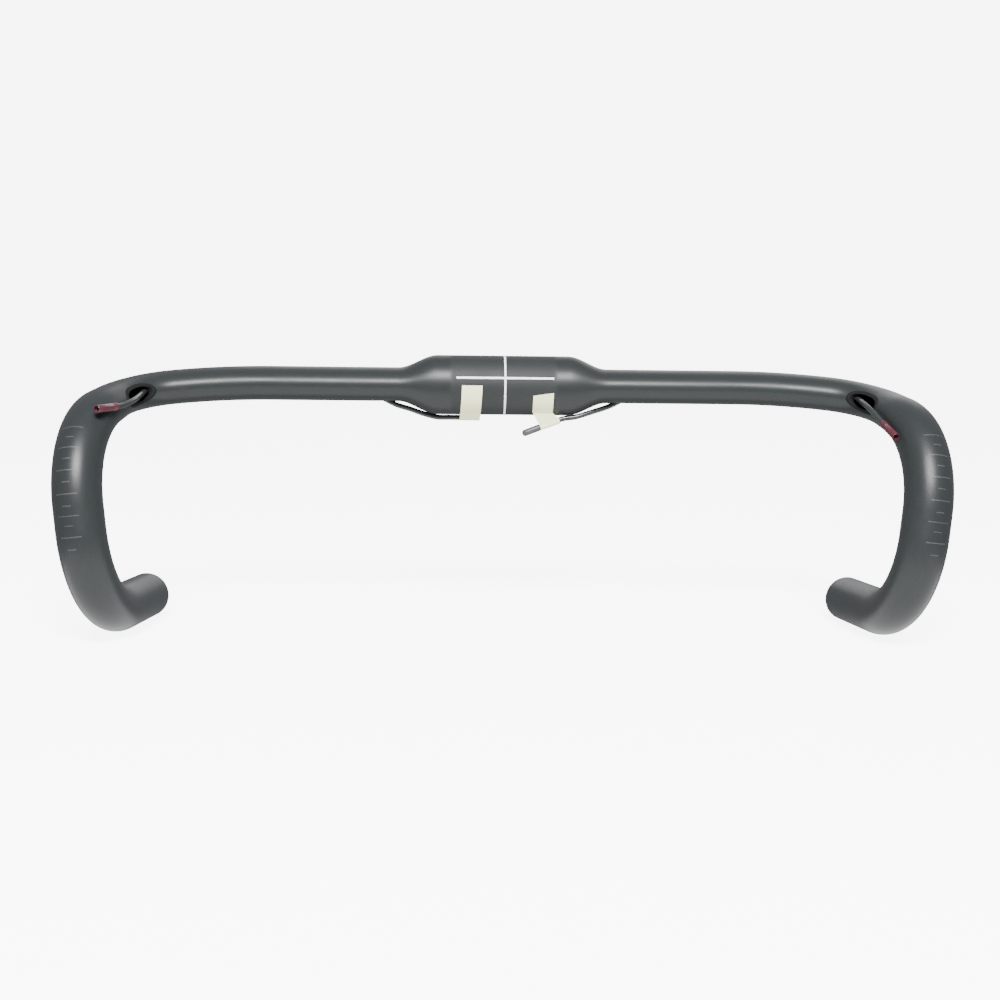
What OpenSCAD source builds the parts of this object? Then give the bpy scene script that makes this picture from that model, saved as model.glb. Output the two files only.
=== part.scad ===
// Drop handlebar: a bonded three-piece carbon bar with internal cable routing, as it is
// delivered, with its two cable liners still threaded and taped at the middle.
// X runs along the tops, -Y points forward to the hooks and Z points up.
// The origin is the middle of the stem clamp.

/* [Overall size] */
// Width between the centres of the two hooks, at the top of their upright stretch
bar_width = 414; // [380:2:500]
// Forward reach, from the clamp's centre to the hooks' centre line
reach = 81; // [76:1:100]
// Drop, from the clamp's centre to the centre line of the drop ends
drop = 114.4; // [108:0.2:140]

/* [Tube] */
// Height of the flattened tops
top_height = 18.2; // [16:0.2:23]
// Depth of the flattened tops, front to back
top_depth = 28; // [23:0.5:31]
// Outside diameter of the hooks and drop ends
hook_d = 24; // [22:0.1:25]
// Wall of the tops, hooks and drops
wall = 1.8; // [1.2:0.1:2.4]

/* [Stem clamp] */
// Diameter of the round clamping zone
clamp_d = 31.8; // [29:0.1:35]
// Length of the round clamping zone
clamp_length = 70; // [60:1:84]
// Length of the shoulder between the clamping zone and the flattened tops
shoulder_length = 21; // [16:1:28]

/* [Bends] */
// Radius of the long, gentle bend at the end of the tops
sweep_radius = 229; // [190:1:290]
// Radius of the tight bend from the tops into the hook
corner_radius = 36.2; // [33:0.2:42]
// Radius of the upper bend of the hook
upper_radius = 49.6; // [42:0.2:54]
// Radius of the lower bend of the hook
lower_radius = 43.8; // [38:0.2:54]
// Straight length at the end of each drop
drop_straight = 44.8; // [42:0.2:76]

/* [Bonded joints] */
// Length of the inner sleeve that joins a drop to the centre section
splice_length = 42; // [30:1:50]
// Wall of that sleeve
splice_wall = 1.2; // [0.8:0.1:1.6]
// Glue line between the sleeve and the tubes around it
glue_line = 0.1; // [0.05:0.05:0.2]

/* [Bar ends] */
// Diameter of the round seat for a bar-end plug
end_bore_d = 20.8; // [18:0.1:21.4]
// Depth of that seat
end_bore_depth = 38; // [25:1:42]

/* [Cable ports] */
// Length of the oval entry port in each bend
port_length = 20; // [16:0.5:23]
// Height of the entry port
port_height = 8.6; // [7.4:0.2:10.4]
// Length of the exit port under each shoulder
exit_length = 11.5; // [11:0.5:14]
// Width of the exit port
exit_width = 5; // [4:0.5:7]
// Width of the entry grommet's lip around the port
lip_width = 1.2; // [0.8:0.1:1.8]
// How far the lip stands proud of the bar
lip_height = 0.5; // [0.3:0.1:0.8]
// Wall of the grommet inside the port
grommet_wall = 0.7; // [0.5:0.1:1]

/* [Cable liners] */
// Outside diameter of a liner
liner_d = 2.8; // [2.4:0.1:3.2]
// Bore of a liner, for the inner cable
liner_bore = 1.6; // [1.2:0.1:1.8]
// Length of a red sleeve on a liner's outer end
red_length = 15; // [12:0.5:17]
// Outside diameter of a red sleeve
red_d = 4; // [3.6:0.1:4.8]
// Length of the grey sleeve on the hanging liner's tip
tip_length = 10; // [7:0.5:13]
// Outside diameter of the grey sleeve
tip_d = 3.6; // [3.4:0.1:4.4]
// Radial running clearance of both kinds of sleeve on the liner
sleeve_gap = 0.05; // [0.02:0.01:0.1]

/* [Tape and marks] */
// Width of each strip of tape
tape_width = 10.8; // [8:0.4:11]
// Thickness of the tape
tape_thick = 0.2; // [0.1:0.05:0.3]

/* [Hidden] */

// Sides of the tube's section, and of a liner's section
sides = 24;
liner_sides = 10;
round_fn = 96;

clamp_r = clamp_d / 2;
hook_r = hook_d / 2;
liner_r = liner_d / 2;
// The shell under the clamp ring is a little smaller, so the ring's own wall is what shows
ring_step = 0.3;
ring_root = 0.9;

// ---- The bar's centre line, as a tube bender would write it ----
// Each move is [straight length, bend radius, bend angle, roll]. Roll is the direction that
// the bar turns towards: 0 is forward and -90 is down.
function bar_moves(tops, ramp, upright) = [
    [tops, 0, 0, 0],
    [0, sweep_radius, 13, -25],
    [0, corner_radius, 66, -12],
    [ramp, 0, 0, 0],
    [0, upper_radius, 74, -95],
    [upright, 0, 0, 0],
    [0, lower_radius, 92, -103],
    [drop_straight, 0, 0, 0]
];
// Frames drawn along each move
move_steps = [2, 3, 9, 1, 8, 1, 9, 2];

// A vector turned round a unit axis
function turned(v, k, a) = v * cos(a) + cross(k, v) * sin(a) + k * (k * v) * (1 - cos(a));

// A frame is [point, direction along the bar, direction of its top, distance from the middle].
// This one lies a share t along a move that starts at frame f.
function along(f, move, t) =
    move[2] == 0
    ? [f[0] + f[1] * move[0] * t, f[1], f[2], f[3] + move[0] * t]
    : let (
        side = cross(f[1], f[2]),
        toward = side * cos(move[3]) + f[2] * sin(move[3]),
        axis = cross(f[1], toward),
        centre = f[0] + toward * move[1],
        a = move[2] * t
    )
    [
        centre + turned(f[0] - centre, axis, a),
        turned(f[1], axis, a),
        turned(f[2], axis, a),
        f[3] + move[1] * a * PI / 180
    ];

// The frames at which the moves start, and the last one's end
function starts(moves, i = 0, f = [[0, 0, 0], [1, 0, 0], [0, 0, 1], 0]) =
    i == len(moves) ? [f] : concat([f], starts(moves, i + 1, along(f, moves[i], 1)));

// The three straights that set the width, the reach and the drop. Each is measured on a bar
// whose own straight is nil, because moving it shifts everything after it.
bare = starts(bar_moves(0, 0, 0));
upright_dir = bare[5][1];
ramp_dir = bare[3][1];
ramp = (reach + bare[5][0][1]) / -ramp_dir[1];
tops_straight = bar_width / 2 - bare[5][0][0] - ramp * ramp_dir[0];
upright = (drop + bare[7][0][2] + ramp * ramp_dir[2]) / -upright_dir[2];
moves = bar_moves(tops_straight, ramp, upright);
begin = starts(moves);

// The frame at a distance s from the middle of the bar
function frame_at(s) =
    let (i = max([for (j = [0:len(moves) - 1]) if (begin[j][3] <= s || j == 0) j]))
    along(begin[i], moves[i], (s - begin[i][3]) / (begin[i + 1][3] - begin[i][3]));
function side_of(f) = cross(f[1], f[2]);

// ---- The bar's section ----
bulge_end = clamp_length / 2;
tops_begin = bulge_end + shoulder_length;
// The sleeve's outer end stays this far short of the first bend
joint_margin = 3;
joint_s = tops_straight - splice_length / 2 - joint_margin;
// The flattened section turns round over this length, from a little way into the tight bend
rounding_offset = 21;
rounding_length = 71.5;
round_begin = begin[2][3] + rounding_offset;

function eased(t) = let (u = min(max(t, 0), 1)) u * u * (3 - 2 * u);
function blend(a, b, t) = a + (b - a) * eased(t);
function half_height(s) =
    s < tops_begin
    ? blend(clamp_r, top_height / 2, (s - bulge_end) / shoulder_length)
    : blend(top_height / 2, hook_r, (s - round_begin) / rounding_length);
function half_depth(s) =
    s < tops_begin
    ? blend(clamp_r, top_depth / 2, (s - bulge_end) / shoulder_length)
    : blend(top_depth / 2, hook_r, (s - round_begin) / rounding_length);

// A point of the bar's skin at frame f: phi 0 is the top and 90 the front. Inset goes inwards.
function skin(f, phi, inset = 0) =
    f[0] + f[2] * (half_height(abs(f[3])) - inset) * cos(phi)
    + side_of(f) * (half_depth(abs(f[3])) - inset) * sin(phi);
function ring(f, inset) = [for (k = [0:sides - 1]) skin(f, 360 * k / sides, inset)];

// ---- Tubes as closed meshes ----
// Rings of n points each are joined side to side. The inner rings make the bore.
function band(n, rows, first, flip) = [
    for (i = [0:rows - 2], k = [0:n - 1])
        let (
            a = first + i * n + k,
            b = first + i * n + (k + 1) % n
        )
        each (flip ? [[a, a + n, b], [b, a + n, b + n]] : [[a, b, a + n], [b, b + n, a + n]])
];
function cap(n, outer, inner, flip) = [
    for (k = [0:n - 1])
        let (
            j = (k + 1) % n
        )
        each (flip
            ? [[outer + k, inner + k, outer + j], [outer + j, inner + k, inner + j]]
            : [[outer + k, outer + j, inner + k], [outer + j, inner + j, inner + k]])
];
module mesh_tube(outer, inner) {
    n = len(outer[0]);
    rows = len(outer);
    count = n * rows;
    polyhedron(
        points = concat([for (r = outer) each r], [for (r = inner) each r]),
        faces = concat(
            band(n, rows, 0, true),
            band(n, rows, count, false),
            cap(n, 0, count, false),
            cap(n, count - n, 2 * count - n, true)
        )
    );
}
// A stretch of the bar's own shell, between two insets
module bar_shell(frames, inset_out, inset_in) {
    mesh_tube([for (f = frames) ring(f, inset_out)], [for (f = frames) ring(f, inset_in)]);
}
// The left side mirrors the right one
module on_side(left) {
    mirror([left ? 1 : 0, 0, 0]) children();
}
// Puts children at a point, with their X, Y and Z along the given directions
module place(point, x, y, z) {
    multmatrix([
        [x[0], y[0], z[0], point[0]],
        [x[1], y[1], z[1], point[1]],
        [x[2], y[2], z[2], point[2]],
        [0, 0, 0, 1]
    ]) children();
}

// ---- Stations and places that several parts share ----
frames = concat(
    [begin[0]],
    [for (i = [0:len(moves) - 1], k = [1:move_steps[i]]) along(begin[i], moves[i], k / move_steps[i])]
);
drop_frames = concat([frame_at(joint_s)], [for (f = frames) if (f[3] > joint_s + 1) f]);
shoulder_steps = 5;
half_centre = concat(
    [for (k = [0:shoulder_steps]) bulge_end + shoulder_length * k / shoulder_steps],
    [joint_s]
);
centre_stations = concat([for (i = [len(half_centre) - 1:-1:0]) -half_centre[i]], half_centre);
centre_frames = [for (x = centre_stations) [[x, 0, 0], [1, 0, 0], [0, 0, 1], x]];

// The entry port is centred on the front of the tight bend
port_offset = 34.9;
port_s = begin[2][3] + port_offset;
port_phi = 88;
port_frame = frame_at(port_s);
port_out = port_frame[2] * cos(port_phi) + side_of(port_frame) * sin(port_phi);
// How far the rods that cut the port reach below the skin and above it
port_below = 5;
port_above = 8;
// The bar's shell is redrawn for the grommet over this distance to either side of the port
port_zone = 26;
// The exit port lies under the tops, just beyond the shoulder
exit_offset = 7.3;
exit_x = tops_begin + exit_offset;

// An oval rod standing on the XY plane, with its length along X
module slot(length, height, depth) {
    run = length - height;
    linear_extrude(height = depth) union() {
        square([run, height], center = true);
        for (x = [-run / 2, run / 2]) translate([x, 0]) circle(d = height, $fn = round_fn);
    }
}
// An oval rod through the skin at the entry port, from below the skin to above it
module port_rod(length, height, extra = 0) {
    place(skin(port_frame, port_phi), port_frame[1], cross(port_out, port_frame[1]), port_out)
        translate([0, 0, -port_below - extra])
            slot(length, height, port_below + port_above + 2 * extra);
}

// ---- Carbon pieces ----
module centre_section() {
    color([0.16, 0.17, 0.18]) difference() {
        union() {
            bar_shell(centre_frames, ring_step, wall);
            rotate([0, 90, 0]) difference() {
                cylinder(h = clamp_length, r = clamp_r, center = true, $fn = round_fn);
                cylinder(h = clamp_length + 1, r = clamp_r - ring_root, center = true, $fn = round_fn);
            }
        }
        for (x = [-exit_x, exit_x])
            translate([x, 0, -top_height]) slot(exit_length, exit_width, top_height - wall);
    }
}

module drop_piece(left) {
    tip = begin[len(moves)];
    color([0.16, 0.17, 0.18]) on_side(left) difference() {
        bar_shell(drop_frames, 0, wall);
        port_rod(port_length, port_height);
        place(tip[0] - tip[1] * end_bore_depth, side_of(tip), -tip[2], tip[1])
            cylinder(h = end_bore_depth + 1, d = end_bore_d, $fn = round_fn);
    }
}
module left_drop() { drop_piece(true); }
module right_drop() { drop_piece(false); }

// A sleeve glued inside the joint between the centre section and a drop
module splice(left) {
    gap = wall + glue_line;
    ends = [for (s = [joint_s - splice_length / 2, joint_s + splice_length / 2]) frame_at(s)];
    color([0.3, 0.3, 0.32]) on_side(left) bar_shell(ends, gap, gap + splice_wall);
}
module left_splice() { splice(true); }
module right_splice() { splice(false); }

// A soft lip that lines the entry port and follows the bar's skin. It stands as far proud of
// the wall inside the bar as it does outside.
module port_grommet(left) {
    fit_gap = 0.05;
    lip_gap = 0.03;
    near = [for (f = frames) if (abs(f[3] - port_s) < port_zone) f];
    color([0.08, 0.08, 0.08]) on_side(left) difference() {
        union() {
            intersection() {
                bar_shell(near, fit_gap - lip_height, wall + lip_height);
                port_rod(port_length - 2 * fit_gap, port_height - 2 * fit_gap);
            }
            intersection() {
                bar_shell(near, -lip_height, -lip_gap);
                port_rod(port_length + 2 * lip_width, port_height + 2 * lip_width);
            }
        }
        port_rod(port_length - 2 * grommet_wall, port_height - 2 * grommet_wall, 1);
    }
}
module left_port_grommet() { port_grommet(true); }
module right_port_grommet() { port_grommet(false); }

// ---- Cable liners ----
// Both routes are written for the right side, from the lever end to the clamp. The first
// and the last stretch of each are straight.
left_route = [
    [198.6, -71.7, -10.8], [192.2, -58.3, -10.2], [187.6, -45.6, -7.9], [186.4, -32.6, -5.5],
    [186.1, -22.5, -4.2], [182.1, -12.4, -2.9], [174.6, -7.2, -2.5], [162.2, -4.3, -2.3],
    [145, -2.4, -1.7], [119.2, -1, -1.2], [95.4, 0, -1.2], [81, 0, -2.2], [71.5, 0, -4.2],
    [64.8, 0, -7.2], [57.2, 0, -10.9], [49.6, 0, -13.2], [42, 0, -15.8], [35.3, 0, -17.4],
    [28.6, 0, -17.5], [12.8, 0, -17.5]
];
right_route = [
    [193.3, -67.9, -20.5], [190.7, -54.5, -14.8], [187.8, -44.7, -9.2], [186.4, -32.6, -5.6],
    [186.1, -22.5, -4.2], [182.1, -12.4, -2.9], [174.6, -7.2, -2.5], [162.2, -4.3, -2.3],
    [145, -2.4, -1.7], [119.2, -1, -1.2], [95.4, 0, -1.2], [81, 0, -2.2], [71.5, 0, -4.2],
    [64.8, -0.2, -7.2], [57.3, -1.2, -10.8], [47.8, -3.6, -13.8], [39.2, -5, -16.4],
    [31.6, -5, -17.7], [11.7, -5, -25.4]
];
route_steps = 3;
// The curved tube's wall lies a little inside the wall of its round, straight ends
facet_gap = 0.03;
bore_gap = 0.06;
lap = 0.6;
// A red sleeve stands this far beyond its liner's end
red_overhang = 1.5;
// Thickness of the grey sleeve's closed end, and its play beyond the liner's end
tip_floor = 1;
tip_play = 0.1;

function unit(v) = v / norm(v);
// The direction and the length of a route's last stretch, pointing out of its end
function outward(route, far) =
    far ? unit(route[len(route) - 1] - route[len(route) - 2]) : unit(route[0] - route[1]);
function end_point(route, far) = far ? route[len(route) - 1] : route[0];

// The slope of the smooth curve at point i, matched to the straight stretch at either end
function slope(r, i) =
    i == 1 ? unit(r[1] - r[0]) * norm(r[2] - r[1])
    : i == len(r) - 2 ? unit(r[i + 1] - r[i]) * norm(r[i] - r[i - 1])
    : (r[i + 1] - r[i - 1]) / 2;
function curve_point(r, i, t) =
    r[i] * (2 * t * t * t - 3 * t * t + 1) + slope(r, i) * (t * t * t - 2 * t * t + t)
    + r[i + 1] * (3 * t * t - 2 * t * t * t) + slope(r, i + 1) * (t * t * t - t * t);
function route_points(r) = concat(
    [r[1] + outward(r, false) * lap],
    [for (i = [1:len(r) - 3], k = [0:route_steps - 1]) curve_point(r, i, k / route_steps)],
    [r[len(r) - 2], r[len(r) - 2] + outward(r, true) * lap]
);
// Rings square to the route, at a given radius
function route_rings(p, radius) = [
    for (i = [0:len(p) - 1])
        let (
            ahead = unit(p[min(i + 1, len(p) - 1)] - p[max(i - 1, 0)]),
            across = unit(cross(ahead, [0, 0, 1])),
            over = cross(ahead, across)
        )
        [for (k = [0:liner_sides - 1])
            p[i] + (across * cos(360 * k / liner_sides) + over * sin(360 * k / liner_sides)) * radius]
];
// Puts children at a liner's end, with Z pointing back along the liner
module at_end(route, far) {
    back = -outward(route, far);
    across = unit(cross(back, [0, 0, 1]));
    place(end_point(route, far), across, cross(back, across), back) children();
}
module round_tube(outer_r, inner_r, from, to) {
    translate([0, 0, from]) difference() {
        cylinder(h = to - from, r = outer_r, $fn = round_fn);
        translate([0, 0, -1]) cylinder(h = to - from + 2, r = inner_r, $fn = round_fn);
    }
}
// The curved middle is a mesh, and the straight ends, which carry the sleeves, are true tubes
module liner(left, route) {
    points = route_points(route);
    last = len(route) - 1;
    color([0.07, 0.07, 0.07]) on_side(left) union() {
        mesh_tube(
            route_rings(points, liner_r - facet_gap),
            route_rings(points, liner_bore / 2 + bore_gap)
        );
        at_end(route, false) round_tube(liner_r, liner_bore / 2, 0, norm(route[0] - route[1]));
        at_end(route, true)
            round_tube(liner_r, liner_bore / 2, 0, norm(route[last] - route[last - 1]));
    }
}
module left_liner() { liner(true, left_route); }
module right_liner() { liner(false, right_route); }

module red_sleeve(left, route) {
    color([0.6, 0.12, 0.16]) on_side(left) at_end(route, false)
        round_tube(red_d / 2, liner_r + sleeve_gap, -red_overhang, red_length - red_overhang);
}
module left_red_sleeve() { red_sleeve(true, left_route); }
module right_red_sleeve() { red_sleeve(false, right_route); }

// A closed cap with a chamfered nose
module right_tip_sleeve() {
    nose = 0.6;
    back = tip_length - tip_floor;
    color([0.45, 0.46, 0.47]) at_end(right_route, true) rotate_extrude($fn = round_fn) polygon([
        [0, -tip_floor - tip_play], [tip_d / 2 - nose, -tip_floor - tip_play],
        [tip_d / 2, nose - tip_floor - tip_play], [tip_d / 2, back],
        [liner_r + sleeve_gap, back], [liner_r + sleeve_gap, -tip_play], [0, -tip_play]
    ]);
}

// ---- Tape and printed marks ----
skin_gap = 0.02;
// Where the strips lie along the bar, and their ends round it in degrees from the top
left_tape_x = -16.5;
right_tape_x = 21.2;
left_tape_top = 88;
left_tape_end = 215;
right_tape_top = 107;
right_tape_end = 150;
// The wrap round the hanging liner starts this far along its last stretch
wrap_start = 1.2;

// Puts a drawing of the Y-Z plane at x, and makes it as thick as width along X
module across_bar(x, width) {
    place([x - width / 2, 0, 0], [0, 1, 0], [0, 0, 1], [1, 0, 0]) linear_extrude(height = width)
        children();
}
// A flat fan between two angles, measured from the top towards the front
module fan(from, to) {
    far = 3 * clamp_r;
    steps = 12;
    polygon(concat(
        [[0, 0]],
        [for (k = [0:steps]) let (a = from + (to - from) * k / steps) [-far * sin(a), far * cos(a)]]
    ));
}
module arc_band(inner_r, outer_r, from, to) {
    intersection() {
        difference() {
            circle(r = outer_r, $fn = round_fn);
            circle(r = inner_r, $fn = round_fn);
        }
        fan(from, to);
    }
}
// The outline of the clamp with the liner lying against it, grown by a margin
module clamp_and_liner(margin) {
    last = left_route[len(left_route) - 1];
    hull() {
        circle(r = clamp_r + margin, $fn = round_fn);
        translate([last[1], last[2]]) circle(r = liner_r + margin, $fn = 32);
    }
}
module left_tape() {
    color([0.92, 0.93, 0.86]) across_bar(left_tape_x, tape_width) intersection() {
        difference() {
            clamp_and_liner(skin_gap + tape_thick);
            clamp_and_liner(skin_gap);
        }
        fan(left_tape_top, left_tape_end);
    }
}
module right_tape() {
    inner = liner_r + skin_gap;
    outer = inner + tape_thick;
    top = right_route[len(right_route) - 2];
    run = -outward(right_route, true);
    low_from = top - run * wrap_start + [0, -inner - tape_thick / 2, 0];
    low_to = low_from - run * tape_width;
    high_r = clamp_r + skin_gap + tape_thick / 2;
    high = [right_tape_x, -high_r * sin(right_tape_end), high_r * cos(right_tape_end)];
    half = [tape_width / 2 - tape_thick, 0, 0];
    color([0.92, 0.93, 0.84]) union() {
        across_bar(right_tape_x, tape_width) arc_band(
            clamp_r + skin_gap, clamp_r + skin_gap + tape_thick, right_tape_top, right_tape_end
        );
        at_end(right_route, true)
            round_tube(
                outer, inner,
                norm(top - end_point(right_route, true)) - wrap_start - tape_width,
                norm(top - end_point(right_route, true)) - wrap_start
            );
        hull() for (p = [low_from, low_to, high - half, high + half])
            translate(p) sphere(d = tape_thick, $fn = 8);
    }
}

// Printed line round the middle of the clamp, broken where the angle line crosses it
mark_thick = 0.05;
mark_width = 1;
angle_phi = 74;
angle_half = 2.2;
angle_length = 51.6;
// Both marks were printed this far off the clamp's middle
mark_x = 0.9;
// Half the angle over which the ring is broken
break_half = 2.5;
module centre_mark() {
    color("white") across_bar(mark_x, mark_width) arc_band(
        clamp_r, clamp_r + mark_thick, angle_phi + break_half, 360 + angle_phi - break_half
    );
}
module angle_mark() {
    color("white") across_bar(mark_x, angle_length)
        arc_band(clamp_r, clamp_r + mark_thick, angle_phi - angle_half, angle_phi + angle_half);
}

// Printed ticks on the front of each hook, for setting both levers alike
scale_ticks = 12;
scale_pitch = 4.7;
// The first tick is this far round the upper bend of the hook
scale_offset = 30.6;
scale_s = begin[4][3] + scale_offset;
tick_thick = 0.6;
long_tick = 52;
short_tick = 20;
scale_phi = -19;
module lever_scale(left) {
    color([0.75, 0.76, 0.76]) on_side(left) for (i = [0:scale_ticks - 1]) {
        f = frame_at(scale_s + i * scale_pitch);
        start = f[2] * cos(scale_phi) + side_of(f) * sin(scale_phi);
        sweep = i % 2 == 0 ? long_tick : short_tick;
        place(f[0], start, cross(f[1], start), f[1])
            rotate([0, 0, (long_tick - sweep) / 2]) rotate_extrude(angle = sweep, $fn = round_fn)
                translate([max(half_height(f[3]), half_depth(f[3])) + skin_gap, -tick_thick / 2])
                    square([mark_thick, tick_thick]);
    }
}
module left_lever_scale() { lever_scale(true); }
module right_lever_scale() { lever_scale(false); }

centre_section();
left_drop();
right_drop();
left_splice();
right_splice();
left_port_grommet();
right_port_grommet();
left_liner();
right_liner();
left_red_sleeve();
right_red_sleeve();
right_tip_sleeve();
left_tape();
right_tape();
centre_mark();
angle_mark();
left_lever_scale();
right_lever_scale();
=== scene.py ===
# %% [markdown]
# # A drop handlebar
# A road handlebar is one long tube that a machine could bend from a short table of moves.
# That table and a section give the tube, and the ports and printed marks are measured from its
# centre line too. The liners, sleeves and tape have routes and outlines of their own.

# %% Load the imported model
import math

import bpy
import numpy as np
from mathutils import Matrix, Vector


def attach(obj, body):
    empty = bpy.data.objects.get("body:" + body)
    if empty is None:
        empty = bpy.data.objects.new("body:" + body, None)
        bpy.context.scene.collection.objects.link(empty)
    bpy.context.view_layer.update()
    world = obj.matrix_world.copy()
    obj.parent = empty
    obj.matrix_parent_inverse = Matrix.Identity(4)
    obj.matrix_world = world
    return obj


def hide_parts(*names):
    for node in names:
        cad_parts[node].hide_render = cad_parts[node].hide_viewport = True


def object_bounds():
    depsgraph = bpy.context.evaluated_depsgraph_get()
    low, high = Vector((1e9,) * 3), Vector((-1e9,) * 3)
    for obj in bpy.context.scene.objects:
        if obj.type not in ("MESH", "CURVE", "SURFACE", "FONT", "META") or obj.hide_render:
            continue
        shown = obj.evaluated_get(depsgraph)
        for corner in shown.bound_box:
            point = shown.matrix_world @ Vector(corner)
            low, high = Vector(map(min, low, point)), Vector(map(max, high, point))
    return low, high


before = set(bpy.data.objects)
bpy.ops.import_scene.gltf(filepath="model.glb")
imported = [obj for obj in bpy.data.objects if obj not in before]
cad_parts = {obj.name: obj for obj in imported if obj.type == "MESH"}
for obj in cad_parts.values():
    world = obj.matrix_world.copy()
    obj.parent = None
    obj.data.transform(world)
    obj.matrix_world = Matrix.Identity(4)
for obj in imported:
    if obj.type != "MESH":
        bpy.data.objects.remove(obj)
cad_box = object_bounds()

# %% [markdown]
# ## The camera
# The bar is looked at from in front and a little above, from about three quarters of a metre, so
# both hooks come towards the viewer. Three angles and a place fix the view. An empty to track
# would work too, but it can't hold the slight roll that plain angles can.

# %% Camera
MM = 0.001
camera_data = bpy.data.cameras.new("front_camera")
camera_data.sensor_width = 36.0
camera_data.lens = 51.79
camera_data.clip_end = 20.0
camera = bpy.data.objects.new("front_camera", camera_data)
bpy.context.scene.collection.objects.link(camera)
camera.location = (-0.02925, -0.77576, 0.02916)
camera.rotation_euler = (math.radians(83.288), math.radians(-0.684), math.radians(-2.031))
bpy.context.scene.camera = camera
print("lens", camera_data.lens, "mm")

# %% [markdown]
# ## The centre line
# A tube bender's table lists straights and bends. Each move here is a straight length, a bend
# radius, a bend angle and a roll, and roll says which way the tube turns: 0 is forward and
# -90 is down. Walking the table gives a frame anywhere on the bar: a point, the direction
# ahead, and the direction of the tube's own top. A spline through hand-placed points would
# wobble between them, and a chain of true arcs doesn't.

# %% Walk the bend table
TABLE_OF_MOVES = [
    (122.753, 0, 0, 0),
    (0, 229, 13, -25),
    (0, 36.2, 66, -12),
    (10.001, 0, 0, 0),
    (0, 49.6, 74, -95),
    (10.569, 0, 0, 0),
    (0, 43.8, 92, -103),
    (44.8, 0, 0, 0),
]


def turned(vector, axis, angle):
    """Rodrigues' formula: the part along the axis stays and the rest swings by the angle."""
    a = np.asarray(angle)[..., None]
    along = axis * float(np.dot(vector, axis))
    return vector * np.cos(a) + np.cross(axis, vector) * np.sin(a) + along * (1 - np.cos(a))


def walk(start, move, distance):
    """The frames at the given distances along one move: a straight, or an arc about its centre."""
    point, ahead, up = start
    _, radius, angle, roll = move
    distance = np.asarray(distance, float)
    if angle == 0:
        flat = np.zeros(distance.shape + (3,))
        return point + ahead * distance[..., None], flat + ahead, flat + up
    side = np.cross(ahead, up)
    toward = side * math.cos(math.radians(roll)) + up * math.sin(math.radians(roll))
    axis = np.cross(ahead, toward)
    centre = point + toward * radius * MM
    swing = distance / (radius * MM)
    return (centre + turned(point - centre, axis, swing),
            turned(ahead, axis, swing), turned(up, axis, swing))


starts = [(np.zeros(3), np.array([1.0, 0, 0]), np.array([0, 0, 1.0]))]
stations = [0.0]
for move in TABLE_OF_MOVES:
    length = move[0] * MM if move[2] == 0 else move[1] * MM * math.radians(move[2])
    starts.append(tuple(v[()] for v in walk(starts[-1], move, length)))
    stations.append(stations[-1] + length)
BAR_END = stations[-1]
print("half the bar is", round(BAR_END * 1000, 1), "mm long")


def bar_at(s):
    """The frame at each distance s from the middle: the table's move that holds s is walked."""
    s = np.asarray(s, float)
    out = [np.zeros(s.shape + (3,)) for _ in range(3)]
    for i, move in enumerate(TABLE_OF_MOVES):
        held = (s >= stations[i]) if i else np.ones(s.shape, bool)
        for target, value in zip(out, walk(starts[i], move, s[held] - stations[i])):
            target[held] = value
    return out


# %% [markdown]
# ## The section
# The clamp zone is round, the tops are flattened for the palms, and the hooks are round again.
# Two half-widths, up and forward, follow the distance along the bar through a smoothstep,
# which starts and ends level, so the skin has no crease where the shape changes.

# %% Section and skin
CLAMP_R, CLAMP_END, SHOULDER_END = 15.9 * MM, 35 * MM, 56 * MM
TOP_HEIGHT, TOP_DEPTH, HOOK_R, WALL = 9.1 * MM, 14 * MM, 12 * MM, 1.8 * MM
ROUND_FROM, ROUND_OVER = stations[2] + 21 * MM, 71.5 * MM
JOINT = stations[1] - 24 * MM


def eased(t):
    """Smoothstep: three t squared less two t cubed, held at 0 and 1 outside."""
    t = np.clip(t, 0, 1)
    return t * t * (3 - 2 * t)


def half_widths(s):
    """Half the section's height and half its depth at each distance s."""
    s = np.abs(np.asarray(s, float))
    shoulder = eased((s - CLAMP_END) / (SHOULDER_END - CLAMP_END))
    rounding = eased((s - ROUND_FROM) / ROUND_OVER)
    height = CLAMP_R + (TOP_HEIGHT - CLAMP_R) * shoulder + (HOOK_R - TOP_HEIGHT) * rounding
    depth = CLAMP_R + (TOP_DEPTH - CLAMP_R) * shoulder + (HOOK_R - TOP_DEPTH) * rounding
    return height, depth


def skin(s, phi, out=0.0):
    """Points of the bar: up times height times cos phi, plus side times depth times sin phi.
    Phi 0 is the tube's top and a quarter turn is its front. Out lifts the point off the skin."""
    s, phi, out = np.broadcast_arrays(*(np.asarray(v, float) for v in (s, phi, out)))
    point, ahead, up = bar_at(s)
    side = np.cross(ahead, up)
    height, depth = half_widths(s)
    return (point + up * ((height + out) * np.cos(phi))[..., None]
            + side * ((depth + out) * np.sin(phi))[..., None])


print("section at the clamp, tops and hook, mm:",
      [np.round(np.array(half_widths(s)) * 2000, 1).tolist() for s in (0, 0.1, 0.35)])

# %% [markdown]
# ## From a grid of points to a piece
# Every surface below is a grid: rows of points, each row a ring or a strip. Neighbouring rows
# are joined with quads in whole-array steps. A tube with a wall is a grid that closes both
# ways, out along the skin and back along the bore, like a stretched ring doughnut, so it has
# no open edge. The UV map holds millimetres round and along, for patterns that follow the tube.

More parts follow.
